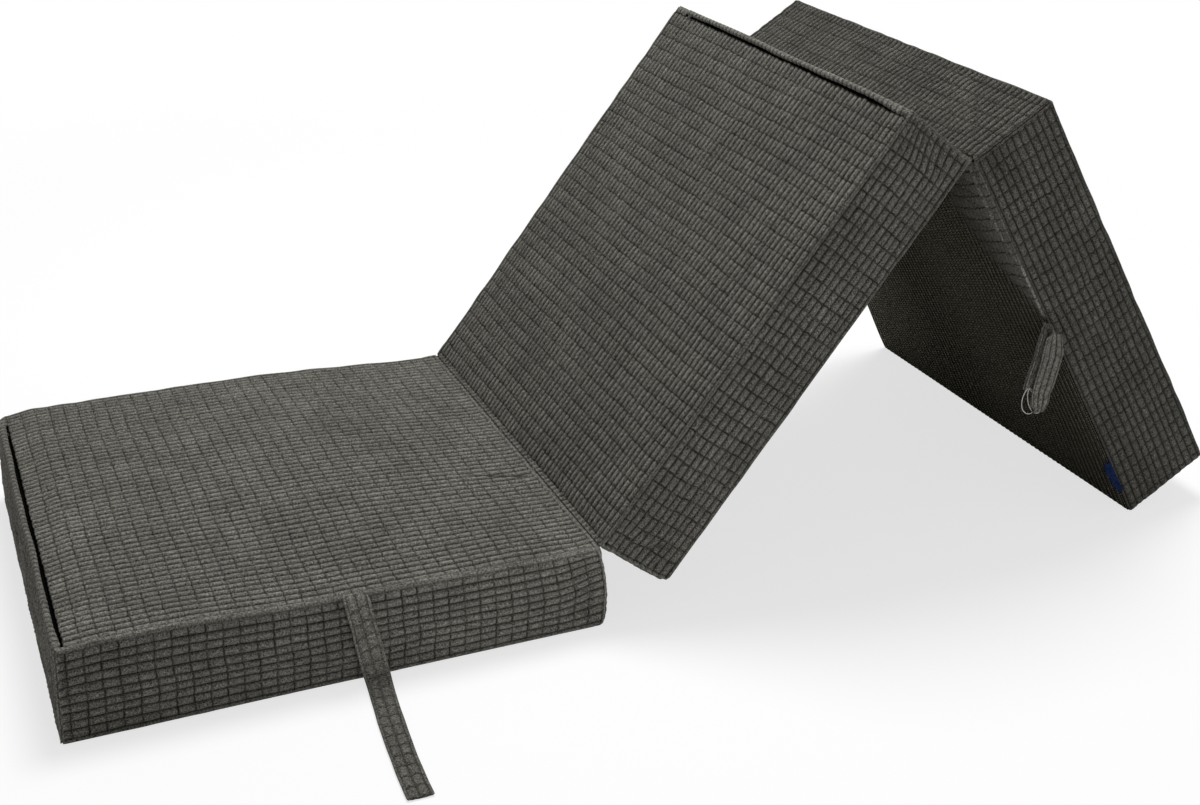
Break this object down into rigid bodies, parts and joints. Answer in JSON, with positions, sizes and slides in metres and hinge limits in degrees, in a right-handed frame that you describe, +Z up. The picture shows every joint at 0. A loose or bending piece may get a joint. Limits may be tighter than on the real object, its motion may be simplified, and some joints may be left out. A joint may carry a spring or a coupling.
{
  "type": "folding mattress",
  "caption": "Folding floor mattress: padded foam sections in ribbed plush covers, hinged along sewn seams, half folded, with tie straps.",
  "frame": {"origin": "on the floor, at the middle of the left section's underside", "axes": "+X along the mattress from the flat section towards the folded ones, +Y across it away from the straps, +Z up"},
  "size_m": [1.5912, 0.926, 0.6254],
  "materials": {
    "cover_plush": "charcoal ribbed plush, brick-like cells",
    "strap_plush": "charcoal ribbed plush, folded and stitched",
    "base_cloth": "near-black anti-slip cloth with fine rows",
    "foam": "pale open-cell foam",
    "zip_tape": "black woven tape",
    "zip_coil": "black nylon coil",
    "zip_slider": "dark enamelled metal",
    "clear_nylon": "clear nylon filament",
    "label_cloth": "bare navy woven label"
  },
  "bodies": {
    "left_section": {"left_core": "foam", "left_top_panel": "cover_plush", "left_front_band": "cover_plush", "left_back_band": "cover_plush", "left_zip_end_band": "cover_plush", "left_fold_end_band": "cover_plush", "left_base_panel": "base_cloth", "left_zip_tape": "zip_tape", "left_zip_coil": "zip_coil", "fold_one_seam_roll": "cover_plush", "fold_one_allowance_left": "cover_plush"},
    "middle_section": {"middle_core": "foam", "middle_top_panel": "cover_plush", "middle_front_band": "cover_plush", "middle_back_band": "cover_plush", "middle_zip_end_band": "cover_plush", "middle_fold_end_band": "cover_plush", "middle_base_panel": "base_cloth", "middle_zip_tape": "zip_tape", "middle_zip_coil": "zip_coil", "fold_one_allowance_middle": "cover_plush", "fold_two_seam_roll": "cover_plush", "fold_two_allowance_middle": "cover_plush"},
    "right_section": {"right_core": "foam", "right_top_panel": "cover_plush", "right_front_band": "cover_plush", "right_back_band": "cover_plush", "right_zip_end_band": "cover_plush", "right_fold_end_band": "cover_plush", "right_base_panel": "base_cloth", "right_zip_tape": "zip_tape", "right_zip_coil": "zip_coil", "fold_two_allowance_right": "cover_plush", "side_label": "label_cloth"},
    "long_strap": {"long_tie_strap": "strap_plush"},
    "bundled_strap": {"bundled_tie_strap": "strap_plush", "nylon_loop_outer": "clear_nylon", "nylon_loop_inner": "clear_nylon"},
    "left_slider": {"left_zip_slider": "zip_slider"},
    "middle_slider": {"middle_zip_slider": "zip_slider"},
    "right_slider": {"right_zip_slider": "zip_slider"}
  },
  "joints": [
    {"name": "fold_one", "type": "hinge", "parent": "left_section", "child": "middle_section", "pos_m": [0.325, 0, 0.115], "axis": [0, -1, 0], "range_deg": [-52, 123]},
    {"name": "fold_two", "type": "hinge", "parent": "middle_section", "child": "right_section", "pos_m": [0.81817, 0, 0.55456], "axis": [0, 1, 0], "range_deg": [-111.06, 63.94]},
    {"name": "long_strap_lift", "type": "hinge", "parent": "left_section", "child": "long_strap", "pos_m": [0.015, -0.325, 0.115], "axis": [-1, 0, 0], "range_deg": [0, 90]},
    {"name": "bundled_strap_lift", "type": "hinge", "parent": "right_section", "child": "bundled_strap", "pos_m": [0.96313, -0.325, 0.31267], "axis": [-0.5141, 0, 0.8577], "range_deg": [0, 90]},
    {"name": "left_zip_slide", "type": "slide", "parent": "left_section", "child": "left_slider", "axis": [0, -1, 0], "range_m": [0, 0.575]},
    {"name": "middle_zip_slide", "type": "slide", "parent": "middle_section", "child": "middle_slider", "axis": [0, -1, 0], "range_m": [0, 0.575]},
    {"name": "right_zip_slide", "type": "slide", "parent": "right_section", "child": "right_slider", "axis": [0, -1, 0], "range_m": [0, 0.575]}
  ]
}
